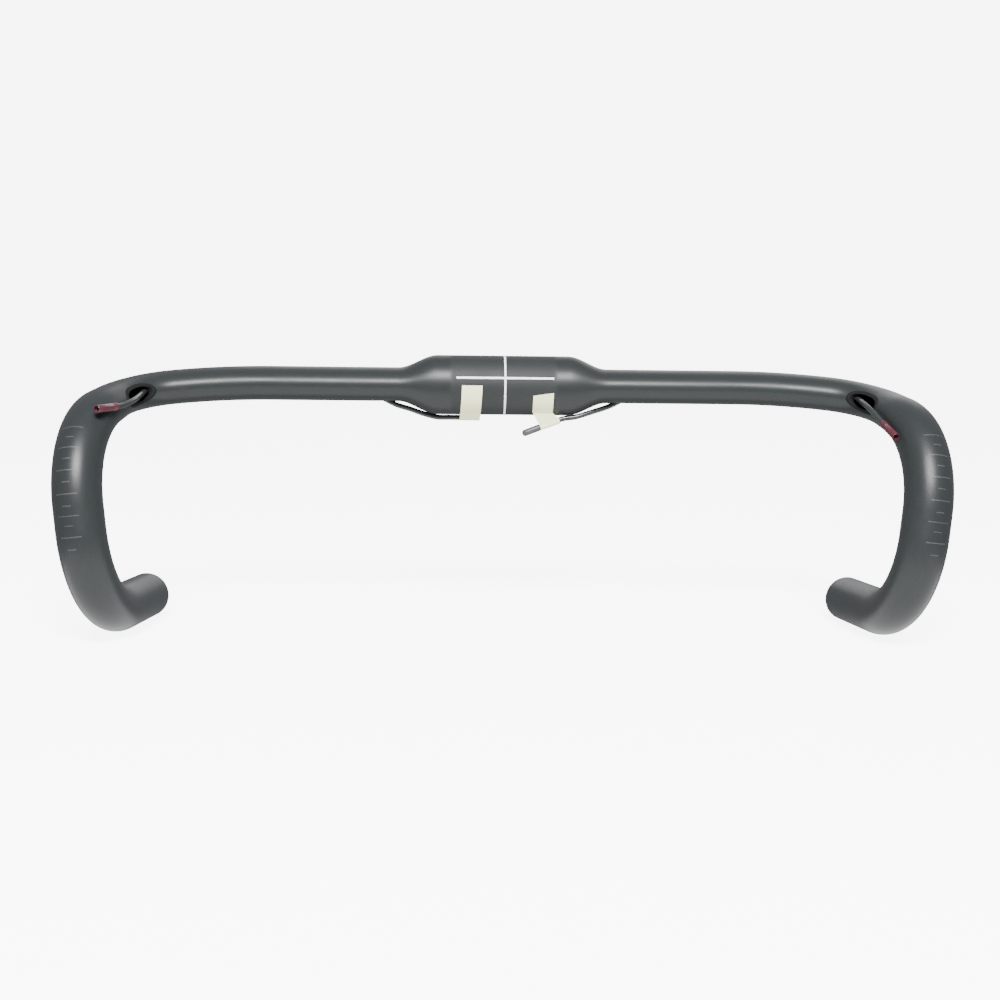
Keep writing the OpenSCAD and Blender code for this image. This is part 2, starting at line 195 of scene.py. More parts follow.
# %% Grid and piece helpers
def grid_quads(rows, columns, close_rows, close_columns):
    """Corner numbers of every quad: the point, its neighbour in the row, and both one row on."""
    i = np.arange(rows if close_rows else rows - 1)[:, None]
    j = np.arange(columns if close_columns else columns - 1)[None, :]
    below, beside = (i + 1) % rows, (j + 1) % columns
    quads = np.stack([i * columns + j, i * columns + beside,
                      below * columns + beside, below * columns + j], -1)
    return quads.reshape(-1, 4)


def grid_uv(rows_at, columns_at, close_rows, close_columns):
    """The UV of every quad corner: u is the column's place and v the row's, without a seam jump."""
    r = np.append(rows_at, rows_at[0]) if close_rows else np.asarray(rows_at)
    c = np.asarray(columns_at)
    if close_columns:
        c = np.append(c, 2 * c[-1] - c[-2])
    u0, u1 = c[:-1][None, :], c[1:][None, :]
    v0, v1 = r[:-1][:, None], r[1:][:, None]
    corners = [(u0, v0), (u1, v0), (u1, v1), (u0, v1)]
    uv = np.stack([np.stack(np.broadcast_arrays(u, v), -1) for u, v in corners], -2)
    return uv.reshape(-1, 2)


def make_piece(name, points, faces, uv=None, left=False, crease=35):
    """A mesh object from points and faces. The left side mirrors x and turns each face over."""
    points = np.asarray(points, float).reshape(-1, 3).copy()
    if left:
        points[:, 0] *= -1
        faces = [np.asarray(f)[..., ::-1] for f in faces]
    polygons = [p for f in faces for p in np.atleast_2d(f).tolist()]
    mesh = bpy.data.meshes.new(name)
    mesh.from_pydata(points.tolist(), [], polygons)
    if uv is not None:
        if left:
            uv = uv.reshape(-1, 4, 2)[:, ::-1].reshape(-1, 2)
        layer = mesh.uv_layers.new(name="round_and_along")
        flat = np.zeros((len(mesh.loops), 2))
        flat[:len(uv)] = uv
        layer.data.foreach_set("uv", flat.ravel())
    mesh.shade_smooth()
    mesh.set_sharp_from_angle(angle=math.radians(crease))
    piece = bpy.data.objects.new(name, mesh)
    bpy.context.scene.collection.objects.link(piece)
    return piece


def finish_piece(piece, finish, slot, body, *nodes):
    """Gives a piece its material, the body it moves with and the CAD nodes it stands for."""
    piece.data.materials.clear()
    piece.data.materials.append(finish)
    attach(piece, body)
    if nodes:
        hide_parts(*nodes)
    print(piece.name, len(piece.data.polygons), "faces")


# %% [markdown]
# ## Cable liners
# A liner is a thin nylon tube that keeps a channel open inside the bar until the inner cables
# go in. Each one runs from the lever, through the entry port in the bend, along the inside of
# the tops and out beside the clamp, and ends under it. A Hermite curve through the route's points gives one smooth
# line, and rings square to that line give the tube, with its bore open at both ends.

# %% Liner routes and tubes
LEFT_ROUTE = [
    (198.6, -71.7, -10.8), (192.2, -58.3, -10.2), (187.6, -45.6, -7.9), (186.4, -32.6, -5.5),
    (186.1, -22.5, -4.2), (182.1, -12.4, -2.9), (174.6, -7.2, -2.5), (162.2, -4.3, -2.3),
    (145, -2.4, -1.7), (119.2, -1, -1.2), (95.4, 0, -1.2), (81, 0, -2.2), (71.5, 0, -4.2),
    (64.8, 0, -7.2), (57.2, 0, -10.9), (49.6, 0, -13.2), (42, 0, -15.8), (35.3, 0, -17.4),
    (28.6, 0, -17.5), (12.8, 0, -17.5)]
RIGHT_ROUTE = [
    (193.3, -67.9, -20.5), (190.7, -54.5, -14.8), (187.8, -44.7, -9.2), (186.4, -32.6, -5.6),
    (186.1, -22.5, -4.2), (182.1, -12.4, -2.9), (174.6, -7.2, -2.5), (162.2, -4.3, -2.3),
    (145, -2.4, -1.7), (119.2, -1, -1.2), (95.4, 0, -1.2), (81, 0, -2.2), (71.5, 0, -4.2),
    (64.8, -0.2, -7.2), (57.3, -1.2, -10.8), (47.8, -3.6, -13.8), (39.2, -5, -16.4),
    (31.6, -5, -17.7), (11.7, -5, -25.4)]
LINER_R, LINER_BORE_R = 1.4 * MM, 0.8 * MM


def unit(v):
    """A vector divided by its own length."""
    return v / np.linalg.norm(v, axis=-1, keepdims=True)


def smooth_route(points, steps=8):
    """Hermite curve: each piece blends its two points and their slopes by cubics of t. A slope is
    half the step between the neighbours, and matches the straight stretch at either end."""
    p = np.array(points) * MM
    slope = np.empty_like(p)
    slope[1:-1] = (p[2:] - p[:-2]) / 2
    slope[1] = unit(p[1] - p[0]) * np.linalg.norm(p[2] - p[1])
    slope[-2] = unit(p[-1] - p[-2]) * np.linalg.norm(p[-2] - p[-3])
    t = (np.arange(steps) / steps)[None, :, None]
    a, b, m, n = (v[:, None, :] for v in (p[1:-2], p[2:-1], slope[1:-2], slope[2:-1]))
    curve = (a * (2 * t**3 - 3 * t**2 + 1) + m * (t**3 - 2 * t**2 + t)
             + b * (3 * t**2 - 2 * t**3) + n * (t**3 - t**2)).reshape(-1, 3)
    ends = np.linspace(0, 1, 7)[:-1, None]
    return np.vstack([p[0] + (p[1] - p[0]) * ends, curve,
                      p[-2] + (p[-1] - p[-2]) * ends, p[-1:]])


def rings_on(path, radius, turns):
    """A ring square to the path at each of its points: over times cos plus across times sin."""
    ahead = unit(np.gradient(path, axis=0))
    across = unit(np.cross(ahead, [0, 0, 1.0]))
    over = np.cross(across, ahead)
    radius = np.broadcast_to(radius, len(path))[:, None, None]
    return path[:, None, :] + radius * (over[:, None, :] * np.cos(turns)[None, :, None]
                                        + across[:, None, :] * np.sin(turns)[None, :, None])


def make_liner(name, route, left):
    """A tube with a bore: rings out along the skin and back along the bore, closed both ways."""
    path = smooth_route(route)
    turns = np.linspace(0, 2 * np.pi, 25)[:-1]
    rings = np.vstack([rings_on(path, LINER_R, turns), rings_on(path, LINER_BORE_R, turns)[::-1]])
    run = np.concatenate([[0], np.cumsum(np.linalg.norm(np.diff(path, axis=0), axis=1))])
    quads = grid_quads(len(rings), len(turns), True, True)
    uv = grid_uv(np.concatenate([run, run[::-1]]) * 1000, turns * LINER_R * 1000, True, True)
    piece = make_piece(name, rings, [quads], uv, left)
    shown = path * [-1, 1, 1] if left else path
    return piece, shown[::-1], float(run[-1])


left_liner, left_line, left_length = make_liner("left_cable_liner", LEFT_ROUTE, True)
right_liner, right_line, right_length = make_liner("right_cable_liner", RIGHT_ROUTE, False)
print("liners, mm:", round(left_length * 1000, 1), round(right_length * 1000, 1))

# %% [markdown]
# ## The carbon tube
# The bar is moulded in three pieces and glued over sleeves, then lacquered as one, so no step
# shows on the outside. Each piece is skin, rim and bore in one closed grid. The drop's open
# end has a softened rim and a slightly wider seat for the bar-end plug.

# %% Carbon pieces
ROUND = np.linspace(0, 2 * np.pi, 97)[:-1]


def shell_piece(name, s, out, left=False):
    """Skin points at the given distances and offsets, as one grid that closes both ways."""
    rings = skin(s[:, None], ROUND[None, :], out[:, None])
    along = np.concatenate([[0], np.cumsum(np.abs(np.diff(s)) + np.abs(np.diff(out)))])
    quads = grid_quads(len(s), len(ROUND), True, True)
    uv = grid_uv(along * 1000, ROUND * HOOK_R * 1000, True, True)
    return make_piece(name, rings, [quads], uv, left)


def bar_middle():
    """The clamp, shoulders and inner tops. Rows crowd together where the shoulder bends."""
    half = np.concatenate([np.linspace(0, CLAMP_END, 13)[:-1],
                           np.linspace(CLAMP_END, SHOULDER_END, 45),
                           np.linspace(SHOULDER_END, JOINT, 20)[1:]])
    s = np.concatenate([-half[:0:-1], half])
    inner = s[::3][::-1]
    inner = np.concatenate([[JOINT], inner[(inner < JOINT) & (inner > -JOINT)], [-JOINT]])
    out = np.concatenate([np.zeros(len(s)), np.full(len(inner), -WALL)])
    return np.concatenate([s, inner]), out


def bar_drop():
    """From the joint to the open end: skin, a rounded rim, the plug's seat and the bore back."""
    rim, seat, depth = 0.5 * MM, 10.4 * MM - HOOK_R, 38 * MM
    s = np.concatenate([np.linspace(JOINT, stations[1], 8)[:-1],
                        np.linspace(stations[1], BAR_END - rim, 250)])
    turn = np.linspace(0, np.pi / 2, 5)[1:]
    rim_s, rim_out = BAR_END - rim + rim * np.sin(turn), rim * np.cos(turn) - rim
    back = np.linspace(BAR_END - depth, JOINT, 110)
    seat_s = np.array([BAR_END, BAR_END - 0.3 * MM, BAR_END - depth + 0.3 * MM])
    seat_out = np.array([seat + 0.25 * MM, seat, seat])
    return (np.concatenate([s, rim_s, seat_s, back]),
            np.concatenate([np.zeros(len(s)), rim_out, seat_out, np.full(len(back), -WALL)]))


middle = shell_piece("bar_middle", *bar_middle())
left_bar = shell_piece("bar_left_drop", *bar_drop(), left=True)
right_bar = shell_piece("bar_right_drop", *bar_drop())

# %% [markdown]
# ## Ports
# Two oval ports are milled in each half after moulding: a long one on the front of the tight
# bend, where the liner goes in, and a small one under the tops, where it comes out. A Boolean
# modifier with an oval rod cuts them, as the mill does. Moving grid lines round the oval would
# also work, but the lip hides the entry port's cut edge, so the simple way is enough.

# %% Cut the ports
PORT_S, PORT_PHI = stations[2] + 34.9 * MM, math.radians(88)
PORT_LENGTH, PORT_HEIGHT = 20 * MM, 8.6 * MM
EXIT_X, EXIT_LENGTH, EXIT_WIDTH = SHOULDER_END + 7.3 * MM, 11.5 * MM, 5 * MM
PORT_ROD, EXIT_ROD = (5 * MM, 8 * MM), (18 * MM, -1.8 * MM)  # reach below and above the centre
_, port_ahead, port_up = bar_at(PORT_S)
port_side = np.cross(port_ahead, port_up)
port_out = port_up * math.cos(PORT_PHI) + port_side * math.sin(PORT_PHI)
port_across = np.cross(port_out, port_ahead)
port_centre = skin(PORT_S, PORT_PHI)


def oval(length, width, fullness=2.5, count=96):
    """A superellipse: (x / a) to the power n plus (y / b) to the power n is 1, a little fuller
    than an ellipse. The direction out of it is that sum's gradient, made one long."""
    turns = np.linspace(0, 2 * np.pi, count + 1)[:-1] + 1e-6
    half = np.array([length, width]) / 2
    circle = np.stack([np.cos(turns), np.sin(turns)], -1)
    share = np.sign(circle) * np.abs(circle) ** (2 / fullness)
    out = unit(np.sign(share) * np.abs(share) ** (fullness - 1) / half)
    return share * half, out


def oval_rod(name, centre, along, across, up, length, width, below, above, left=False):
    """Two ovals joined by a wall, each closed by one many-sided face."""
    flat, _ = oval(length, width)
    ring = centre + along * flat[:, :1] + across * flat[:, 1:]
    n = len(ring)
    quads = grid_quads(2, n, False, True)
    caps = [np.arange(n)[::-1][None, :], (np.arange(n) + n)[None, :]]
    rings = np.stack([ring - up * below, ring + up * above])
    return make_piece(name, rings, [quads, *caps], None, left)


def cut(piece, rod):
    """Subtracts the rod with an exact Boolean, keeps the result and removes the rod."""
    modifier = piece.modifiers.new("port", "BOOLEAN")
    modifier.operation, modifier.solver, modifier.object = "DIFFERENCE", "EXACT", rod
    graph = bpy.context.evaluated_depsgraph_get()
    mesh = bpy.data.meshes.new_from_object(piece.evaluated_get(graph))
    piece.modifiers.clear()
    piece.data = mesh
    mesh.shade_smooth()
    mesh.set_sharp_from_angle(angle=math.radians(35))
    bpy.data.objects.remove(rod)


for piece, is_left in ((left_bar, True), (right_bar, False)):
    cut(piece, oval_rod("port_mill", port_centre, port_ahead, port_across, port_out,
                        PORT_LENGTH, PORT_HEIGHT, *PORT_ROD, is_left))
for x in (-EXIT_X, EXIT_X):
    cut(middle, oval_rod("exit_mill", np.array([x, 0, 0]), np.array([1.0, 0, 0]),
                         np.array([0, 1.0, 0]), np.array([0, 0, 1.0]),
                         EXIT_LENGTH, EXIT_WIDTH, *EXIT_ROD))
print("ports cut; middle has", len(middle.data.polygons), "faces")

# %% [markdown]
# ## Port lips
# A soft rubber lip lines the entry port, so the carbon's cut edge can't chafe the liner. Its
# little profile is carried round the oval. For each point of the oval, the spot of skin under
# it is found by a few Newton steps, so the lip follows the bar's double curve.

# %% Port lips
def skin_under(x, y):
    """Distance and phi of the skin that lies at x ahead and y across from the port's centre.
    Newton's steps: measure the miss, divide it by how fast s and phi move the point, repeat."""
    s = PORT_S + x
    phi = PORT_PHI + y / HOOK_R
    step = 1e-5
    for _ in range(8):
        here = skin(s, phi) - port_centre
        by_s = (skin(s + step, phi) - port_centre - here) / step
        by_phi = (skin(s, phi + step) - port_centre - here) / step
        miss_x, miss_y = x - here @ port_ahead, y - here @ port_across
        a, b = by_s @ port_ahead, by_phi @ port_ahead
        c, d = by_s @ port_across, by_phi @ port_across
        det = a * d - b * c
        s, phi = s + (miss_x * d - miss_y * b) / det, phi + (miss_y * a - miss_x * c) / det
    return s, phi


LIP_PROFILE = np.array([
    (-0.70, -2.25), (-0.70, 0.10), (-0.62, 0.32), (-0.42, 0.46), (-0.10, 0.50), (0.45, 0.50),
    (0.85, 0.42), (1.10, 0.25), (1.20, 0.03), (0.0, 0.03), (-0.05, 0.0), (-0.05, -2.25)]) * MM


def port_lip(name, left):
    """Profile points are an offset out of the oval and a height over the skin there."""
    rows = []
    for offset, height in LIP_PROFILE:
        flat, out = oval(PORT_LENGTH, PORT_HEIGHT)
        flat = flat + out * offset
        s, phi = skin_under(flat[:, 0], flat[:, 1])
        rows.append(skin(s, phi) + port_out * height)
    rows = np.array(rows)
    quads = grid_quads(len(rows), rows.shape[1], True, True)[:, ::-1]
    return make_piece(name, rows, [quads], None, left, crease=50)


left_lip, right_lip = port_lip("left_port_lip", True), port_lip("right_port_lip", False)

# %% [markdown]
# ## Sleeves on the liners
# A turned outline makes each sleeve: the red ones are open tubes with rounded mouths and two
# shallow grip rings, and the grey one is a closed cap with a rounded nose. Each slides along
# its liner, so it rides on its own body.

# %% Sleeves
def lathe(name, route_points, outline, left=False, closed_nose=False):
    """Turns an outline of (radius, distance back from the liner's end) round the liner's line."""
    end, inner = (np.array(p) * MM for p in route_points)
    back = unit(inner - end)
    across = unit(np.cross(back, [0, 0, 1.0]))
    over = np.cross(across, back)
    turns = np.linspace(0, 2 * np.pi, 49)[:-1]
    spokes = across[None] * np.cos(turns)[:, None] + over[None] * np.sin(turns)[:, None]
    outline = np.array(outline) * MM
    rows = end + back * outline[:, 1, None, None] + spokes[None] * outline[:, 0, None, None]
    n = len(turns)
    faces = [grid_quads(len(rows), n, not closed_nose, True)]
    if closed_nose:
        faces += [np.arange(n)[None, ::-1], (np.arange(n) + (len(rows) - 1) * n)[None, :]]
    return make_piece(name, rows, faces, None, left, crease=40)


red_outline = [
    (1.45, -1.3), (1.50, -1.46), (1.62, -1.5), (1.86, -1.5), (1.96, -1.42), (2.0, -1.25),
    (2.0, 9.6), (1.93, 9.75), (1.93, 10.15), (2.0, 10.3), (2.0, 10.9), (1.93, 11.05),
    (1.93, 11.45), (2.0, 11.6), (2.0, 13.1), (1.95, 13.35), (1.8, 13.5), (1.45, 13.5)]
left_red = lathe("left_red_cap", LEFT_ROUTE[:2], red_outline, left=True)
right_red = lathe("right_red_cap", RIGHT_ROUTE[:2], red_outline)
nose_turn = np.linspace(0.02, 1, 8) * np.pi / 2
tip_outline = (
    [(0.9 * np.sin(a) + 0.9 * a / (np.pi / 2), 0.2 - 1.3 * np.cos(a)) for a in nose_turn]
    + [(1.8, 2.0), (1.8, 8.7), (1.7, 8.95), (1.5, 9.0), (1.45, 8.9), (1.45, 0.0), (0.05, -0.1)])
right_tip = lathe("right_grey_tip", [RIGHT_ROUTE[-1], RIGHT_ROUTE[-2]], tip_outline,
                  closed_nose=True)

# %% [markdown]
# ## Tape
# Two strips of creped paper tape hold the liners for transport. A strip is a thin closed sheet
# along a path: it lies on the clamp, then bridges to the liner and goes round it. Its free end
# was torn on a toothed cutter, so the first row of points follows a little zigzag.

# %% Tape strips
SKIN_GAP, TAPE_THICK, TAPE_HALF = 0.03 * MM, 0.17 * MM, 5.4 * MM
LEFT_TAPE_X, RIGHT_TAPE_X, LINER_DROP = -16.5 * MM, 21.2 * MM, 17.5 * MM
TAPE_ON_CLAMP, TAPE_ON_LINER = (CLAMP_R + SKIN_GAP + TAPE_THICK / 2,
                                LINER_R + SKIN_GAP + TAPE_THICK / 2)


def sheet_piece(name, rows_of_points, outward, left=False):
    """A sheet with thickness: each row goes across the outer face and back across the inner."""
    outer = rows_of_points + outward * TAPE_THICK / 2
    inner = rows_of_points - outward * TAPE_THICK / 2
    rows = np.concatenate([outer, inner[:, ::-1]], axis=1)
    count, wide = rows.shape[0], rows.shape[1]
    quads = grid_quads(count, wide, False, True)
    i = np.arange(wide // 2 - 1)
    first = np.stack([i, wide - 1 - i, wide - 2 - i, i + 1], -1)
    last = (np.stack([i, i + 1, wide - 2 - i, wide - 1 - i], -1) + (count - 1) * wide)
    return make_piece(name, rows, [quads, first, last], None, left, crease=60)


def teeth(across, pitch=1.2 * MM, depth=0.5 * MM):
    """A zigzag: the distance to the nearest tooth's point, scaled to the tooth's depth."""
    return depth * np.abs(2 * ((across / pitch) % 1) - 1)


def outward_of(rows):
    """The unit normal at each grid point: the cross product of the two grid directions."""
    down, over = np.gradient(rows, axis=0), np.gradient(rows, axis=1)
    return unit(np.cross(over, down))


def left_tape():
    """Clamp arc, straight bridge, then round the liner's underside. The bridge leaves both
    circles where their common tangent touches them."""
    clamp, liner, drop = TAPE_ON_CLAMP, TAPE_ON_LINER, LINER_DROP
    touch = math.pi - math.acos((clamp - liner) / drop)
    a = np.linspace(math.radians(88), touch, 40)
    b = np.linspace(touch, 2 * math.pi - touch, 24)
    path = np.concatenate([
        np.stack([-clamp * np.sin(a), clamp * np.cos(a)], -1),
        np.stack([-liner * np.sin(b), liner * np.cos(b) - drop], -1)])
    run = np.concatenate([[0], np.cumsum(np.linalg.norm(np.diff(path, axis=0), axis=1))])
    across = np.linspace(-TAPE_HALF, TAPE_HALF, 85)
    ragged = np.maximum(run[:, None], teeth(across)[None, :] * (run[:, None] < 1 * MM))
    y, z = (np.interp(ragged, run, path[:, k]) for k in (0, 1))
    lean = -1.2 * MM * ragged / run[-1]
    x = LEFT_TAPE_X + across[None, :] + lean + 0 * y
    return np.stack([x, y, z], -1)


def right_tape():
    """Clamp arc, a ruled web from the clamp to the liner's front, then over a turn round it."""
    clamp = TAPE_ON_CLAMP
    across = np.linspace(-TAPE_HALF, TAPE_HALF, 85)
    tilt = (across + TAPE_HALF) * 0.16
    a = np.linspace(math.radians(107), math.radians(150), 30)
    arc_run = (a - a[0]) * clamp
    ragged = np.maximum(arc_run[:, None], teeth(across)[None, :] * (arc_run[:, None] < 1 * MM))
    turn = a[0] + ragged / clamp - (tilt / clamp)[None, :] * (1 - arc_run / arc_run[-1])[:, None]
    arc = np.stack([RIGHT_TAPE_X + across[None, :] + 0 * turn,
                    -clamp * np.sin(turn), clamp * np.cos(turn)], -1)
    bend, tip = (np.array(p) * MM for p in RIGHT_ROUTE[-2:])
    ahead = unit(tip - bend)
    line = bend + ahead * (12 * MM - (across + TAPE_HALF))[:, None]
    down = np.cross([0, -1.0, 0], ahead)
    down = down if down[2] < 0 else -down
    wind = np.linspace(0, math.radians(430), 90)
    radius = TAPE_ON_LINER + 0.22 * MM * wind / (2 * math.pi)
    wrap = line[None] + radius[:, None, None] * (
        np.cos(wind)[:, None, None] * np.array([0, -1.0, 0]) + np.sin(wind)[:, None, None] * down)
    web = np.linspace(0, 1, 14)[1:-1, None, None]
    return np.concatenate([arc, arc[-1:] * (1 - web) + wrap[:1] * web, wrap])


left_rows, right_rows = left_tape(), right_tape()
left_strip = sheet_piece("left_tape_strip", left_rows, outward_of(left_rows))
right_strip = sheet_piece("right_tape_strip", right_rows, outward_of(right_rows))

# %% [markdown]
# ## Printed marks
# The white ring shows the bar's middle and the white line shows the angle at which the stem
# was set, so that the bar goes back as it was. The ticks on the hooks help set both levers to
# the same height. Ink is thin, so each mark is a patch of skin lifted by a few hundredths.

# %% Marks
INK = 0.05 * MM


def ink_patch(s, phi, lift=INK):
    """A closed thin patch over a grid of s and phi: the lifted face, its sides and its back."""
    s, phi = np.meshgrid(s, phi, indexing="ij")
    top, bottom = skin(s, phi, lift), skin(s, phi, 0.0)
    rows = np.concatenate([top, bottom[:, ::-1]], axis=1)
    count, wide = rows.shape[0], rows.shape[1]
    i = np.arange(wide // 2 - 1)
    faces = np.concatenate([
        grid_quads(count, wide, False, True),
        np.stack([i, wide - 1 - i, wide - 2 - i, i + 1], -1),
        np.stack([i, i + 1, wide - 2 - i, wide - 1 - i], -1) + (count - 1) * wide])
    return rows.reshape(-1, 3), faces


def ink_piece(name, patches, left=False):
    """Joins patches into one mesh by shifting each patch's corner numbers past the last."""
    shift = np.cumsum([0] + [len(p) for p, _ in patches])
    points = np.concatenate([p for p, _ in patches])
    faces = np.concatenate([f + shift[k] for k, (_, f) in enumerate(patches)])
    return make_piece(name, points, [faces], None, left, crease=60)


LINE_PHI, LINE_HALF, GAP_HALF = math.radians(74), math.radians(2.0), math.radians(2.4)
ring_phi = np.linspace(LINE_PHI + GAP_HALF, LINE_PHI + 2 * math.pi - GAP_HALF, 180)
MARK_X, RING_HALF, LINE_REACH = 0.9 * MM, 0.5 * MM, 25.8 * MM
centre_ring = ink_piece("centre_ring", [
    ink_patch(np.array([MARK_X - RING_HALF, MARK_X + RING_HALF]), ring_phi)])
angle_line = ink_piece("angle_line", [ink_patch(
    np.linspace(MARK_X - LINE_REACH, MARK_X + LINE_REACH, 40),
    np.linspace(LINE_PHI - LINE_HALF, LINE_PHI + LINE_HALF, 6))])

TICKS, TICK_PITCH, FIRST_TICK, TICK_START = 12, 4.7 * MM, stations[4] + 30.6 * MM, math.radians(-19)


def lever_scale(name, left):
    """A long tick, then a short one on the long ones' middle, and so on down the hook."""
    long_half, short_half = math.radians(26), math.radians(10)
    middle_phi = TICK_START + long_half
    patches = [ink_patch(FIRST_TICK + k * TICK_PITCH + np.array([-0.24, 0.24]) * MM,
                         middle_phi + np.linspace(-1, 1, 24) * (short_half if k % 2 else long_half))
               for k in range(TICKS)]
    return ink_piece(name, patches, left)


left_scale = lever_scale("left_scale_ticks", True)
right_scale = lever_scale("right_scale_ticks", False)

# %% [markdown]
# ## Finishes
# Each finish is a small node tree. Colours and numbers that don't vary sit on the shader's own
# sockets, and only what really varies over a surface comes through nodes.

# %% Material helpers
def finish(name, colour, roughness, **sockets):
    """A Principled material with its constant values set straight on the shader."""
    material = bpy.data.materials.new(name)
    material.use_nodes = True
    shader = material.node_tree.nodes["Principled BSDF"]
    shader.inputs["Base Color"].default_value = (*colour, 1)
    shader.inputs["Roughness"].default_value = roughness
    for key, value in sockets.items():
        shader.inputs[key.replace("_", " ")].default_value = value
    return material


def node(material, kind, settings=None, **values):
    """A new node; settings are its own options and values fill its input sockets by name."""
    made = material.node_tree.nodes.new(kind)
    for key, value in (settings or {}).items():
        setattr(made, key, value)
    for key, value in values.items():
        made.inputs[key.replace("_", " ")].default_value = value
    return made


def join(material, *pairs):
    """Links output sockets to input sockets."""
    for a, b in pairs:
        material.node_tree.links.new(a, b)


def noise(material, scale, detail=3.0, stretch=(1, 1, 1), source="Object", rotate=0.0):
    """Noise on Object or UV coordinates, stretched and turned by a Mapping node."""
    place = node(material, "ShaderNodeTexCoord")
    mapping = node(material, "ShaderNodeMapping", Scale=stretch, Rotation=(0, 0, rotate))
    texture = node(material, "ShaderNodeTexNoise", Scale=scale, Detail=detail)
    join(material, (place.outputs[source], mapping.inputs["Vector"]),
         (mapping.outputs["Vector"], texture.inputs["Vector"]))
    return texture.outputs["Fac"]


def ramp(material, value, low, high, a, b):
    """Maps a value from low..high to a..b."""
    made = node(material, "ShaderNodeMapRange", From_Min=low, From_Max=high, To_Min=a, To_Max=b)
    join(material, (value, made.inputs["Value"]))
    return made.outputs["Result"]


def tint(material, value, dark, light):
    """Mixes two colours by a value and feeds the shader's base colour."""
    mix = node(material, "ShaderNodeMix", {"data_type": "RGBA"})
    mix.inputs[6].default_value, mix.inputs[7].default_value = (*dark, 1), (*light, 1)
    shader = material.node_tree.nodes["Principled BSDF"]
    join(material, (value, mix.inputs[0]), (mix.outputs[2], shader.inputs["Base Color"]))


def bump(material, value, strength, distance):
    """Feeds a height through a Bump node into the shader's normal."""
    made = node(material, "ShaderNodeBump", Strength=strength, Distance=distance)
    shader = material.node_tree.nodes["Principled BSDF"]
    join(material, (value, made.inputs["Height"]),
         (made.outputs["Normal"], shader.inputs["Normal"]))


# %% [markdown]
# The carbon is satin: fibre under a thin matt lacquer. Fine streaks at a slant follow the UV
# map's millimetres, as unidirectional fibre does, and a slow cloudiness varies the sheen. The
# stem's clamping zone is left rougher than the rest, for grip.

# %% Carbon finish
GRIP_END, GRIP_GONE = 0.0265, 0.0290


def carbon(name, grip=False):
    """Streaks and clouds drive the colour and the roughness; the grip zone adds roughness."""
    material = finish(name, (0.020, 0.0225, 0.0235), 0.40, Specular_IOR_Level=0.28)
    shader = material.node_tree.nodes["Principled BSDF"]
    streaks = noise(material, 1.0, 4.0, (5.0, 0.16, 1), "UV", math.radians(38))
    clouds = noise(material, 60.0, 2.0)
    tint(material, streaks, (0.011, 0.0128, 0.0132), (0.024, 0.027, 0.028))
    rough = ramp(material, clouds, 0.3, 0.7, 0.36, 0.41)
    if grip:
        place = node(material, "ShaderNodeTexCoord")
        split = node(material, "ShaderNodeSeparateXYZ")
        away = node(material, "ShaderNodeMath", {"operation": "ABSOLUTE"})
        join(material, (place.outputs["Object"], split.inputs["Vector"]),
             (split.outputs["X"], away.inputs[0]))
        extra = ramp(material, away.outputs[0], GRIP_END, GRIP_GONE, 0.20, 0.0)
        total = node(material, "ShaderNodeMath", {"operation": "ADD"})
        join(material, (rough, total.inputs[0]), (extra, total.inputs[1]))
        rough = total.outputs[0]
    join(material, (rough, shader.inputs["Roughness"]))
    bump(material, noise(material, 2600.0, 2.0), 0.05, 0.0001)
    return material


satin_carbon, satin_clamp = carbon("satin_carbon"), carbon("satin_carbon_with_grip_zone", grip=True)
raw_carbon = finish("raw_carbon", (0.09, 0.09, 0.095), 0.6)
bump(raw_carbon, noise(raw_carbon, 900.0, 3.0, (1, 4, 4)), 0.3, 0.0002)
tint(raw_carbon, noise(raw_carbon, 700.0, 2.0, (1, 6, 6)), (0.07, 0.07, 0.074), (0.12, 0.12, 0.125))

# %% [markdown]
# The lips are matt black rubber, painted almost pure black, darker than rubber is, as painted shade
# for the shadow in the entry port. The liners are glossier nylon and the sleeves are coloured
# plastic. One flat colour each would do from afar, but noise between two close tones keeps a
# small part from looking painted, and a fine bump gives the rubber and the sleeves a moulded
# surface.

# %% Rubber, liner, sleeves
# Almost pure black, darker than real rubber: painted shade for the entry port's shadow.
lip_rubber_with_painted_shade = finish("lip_rubber_with_painted_shade", (0.004, 0.004, 0.004), 0.75, Specular_IOR_Level=0.2)
tint(lip_rubber_with_painted_shade, noise(lip_rubber_with_painted_shade, 500.0), (0.003, 0.003, 0.003), (0.006, 0.0065, 0.0065))
bump(lip_rubber_with_painted_shade, noise(lip_rubber_with_painted_shade, 3500.0, 2.0), 0.15, 0.0001)
liner_nylon = finish("liner_nylon", (0.02, 0.022, 0.022), 0.22)
tint(liner_nylon, noise(liner_nylon, 1.0, 2.0, (0.4, 0.1, 1), "UV"),
     (0.014, 0.016, 0.016), (0.03, 0.034, 0.034))
red_plastic = finish("red_plastic", (0.06, 0.011, 0.018), 0.27, Coat_Weight=0.15)
tint(red_plastic, noise(red_plastic, 420.0), (0.040, 0.007, 0.012), (0.085, 0.016, 0.027))
bump(red_plastic, noise(red_plastic, 1500.0, 2.0), 0.08, 0.0001)
grey_plastic = finish("grey_plastic", (0.05, 0.051, 0.052), 0.45)
tint(grey_plastic, noise(grey_plastic, 700.0), (0.032, 0.033, 0.034), (0.075, 0.077, 0.079))
bump(grey_plastic, noise(grey_plastic, 2200.0, 2.0), 0.12, 0.0001)

# %% [markdown]
# Masking tape is creped: fine ridges run across the strip, and the paper's fibres give it a
# slightly patchy, warm white. Ink is flatter, with small breaks where it wore thin.

